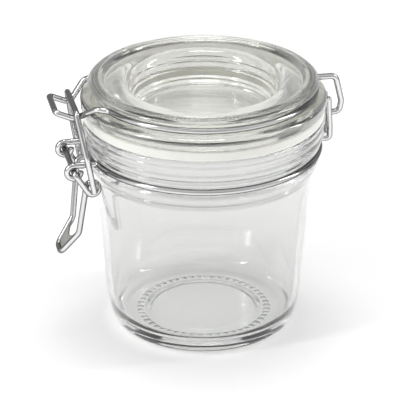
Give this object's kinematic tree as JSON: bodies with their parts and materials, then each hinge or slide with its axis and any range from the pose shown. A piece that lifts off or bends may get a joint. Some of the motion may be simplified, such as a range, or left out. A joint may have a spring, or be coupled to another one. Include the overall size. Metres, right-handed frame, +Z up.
{
  "type": "clip top jar",
  "caption": "Clear glass storage jar with a deep-welled glass lid, a pale sealing ring, a rear wire hinge and a front wire clip with a lever.",
  "frame": {"origin": "on the floor, under the middle of the length from the clip's nose to the hinge", "axes": "+X from the clip to the hinge, +Y to the side away from the camera, +Z up along the jar's axis"},
  "size_m": [0.1252, 0.1026, 0.1113],
  "materials": {
    "glass": "clear, polished",
    "silicone": "translucent cream, satin",
    "wire": "polished stainless steel",
    "plate": "matt steel"
  },
  "bodies": {
    "jar": {"jar_glass": "glass", "gasket": "silicone", "neck_wire": "wire"},
    "lid": {"lid_glass": "glass", "lid_wire": "wire"},
    "bail": {"bail_wire": "wire"},
    "lever": {"lever_wire": "wire", "lever_plate": "plate"}
  },
  "joints": [
    {"name": "lid_hinge", "type": "hinge", "parent": "jar", "child": "lid", "pos_m": [0.0531, 0, 0.082], "axis": [0, 1, 0], "range_deg": [0, 110]},
    {"name": "lever_flip", "type": "hinge", "parent": "jar", "child": "lever", "pos_m": [-0.0549, 0, 0.0779], "axis": [0, 1, 0], "range_deg": [0, 98.2]},
    {"name": "bail_swing", "type": "hinge", "parent": "lid", "child": "bail", "pos_m": [-0.0532, 0, 0.1038], "axis": [0, 1, 0], "range_deg": [0, 26.98]}
  ],
  "couplings": [
    {"joint": "bail_swing", "follows": "lever_flip", "ratio": 0.27464}
  ]
}
